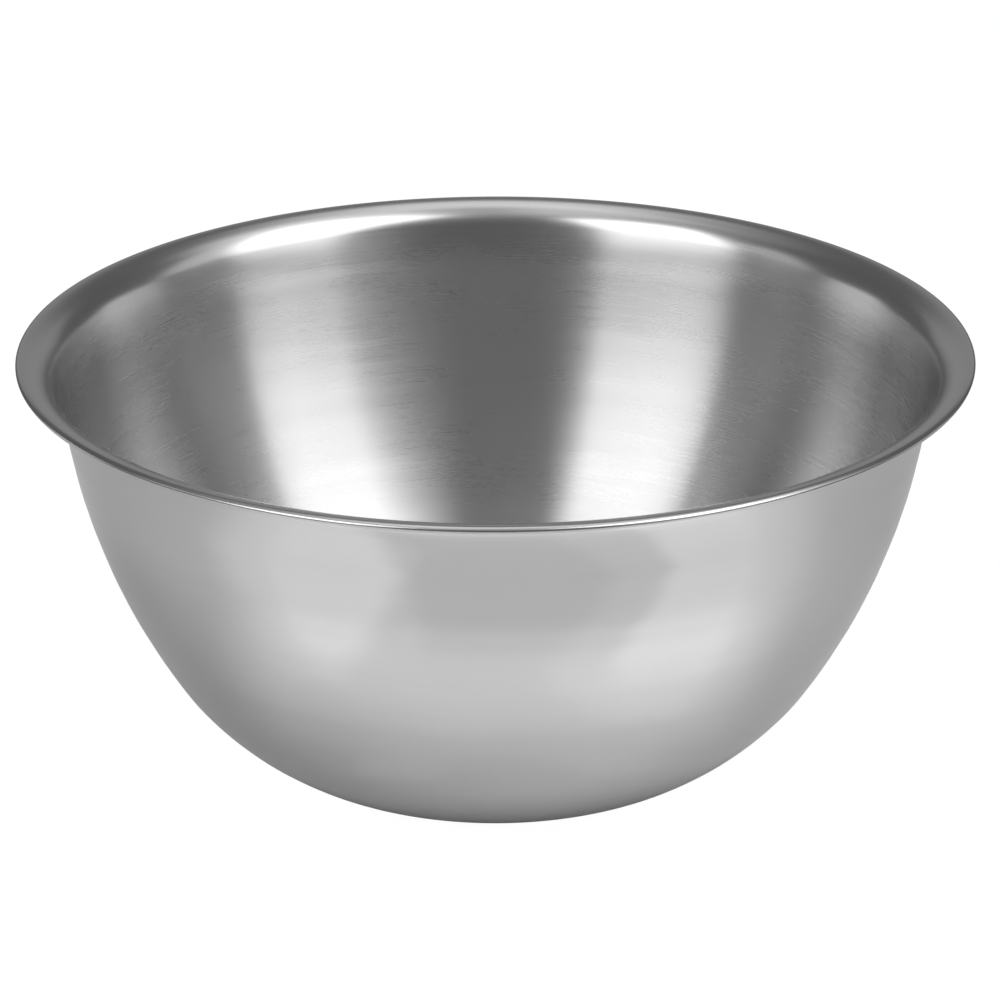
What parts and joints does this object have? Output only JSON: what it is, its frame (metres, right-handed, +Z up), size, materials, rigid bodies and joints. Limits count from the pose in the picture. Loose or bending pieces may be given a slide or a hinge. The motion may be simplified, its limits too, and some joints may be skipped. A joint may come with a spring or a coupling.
{
  "type": "mixing bowl",
  "caption": "Deep round stainless steel mixing bowl with a flat base, a rounded belly, an outward lip and a narrow edge curled under.",
  "frame": {"origin": "centre of the underside of the flat base", "axes": "+Z up along the bowl's axis of revolution; X and Y are any two level directions, since the bowl is round"},
  "size_m": [0.285, 0.285, 0.1309],
  "materials": {
    "bowl_steel": "circumferentially brushed inside, satin polished outside"
  },
  "bodies": {
    "root": {"bowl_shell": "bowl_steel"}
  },
  "joints": []
}
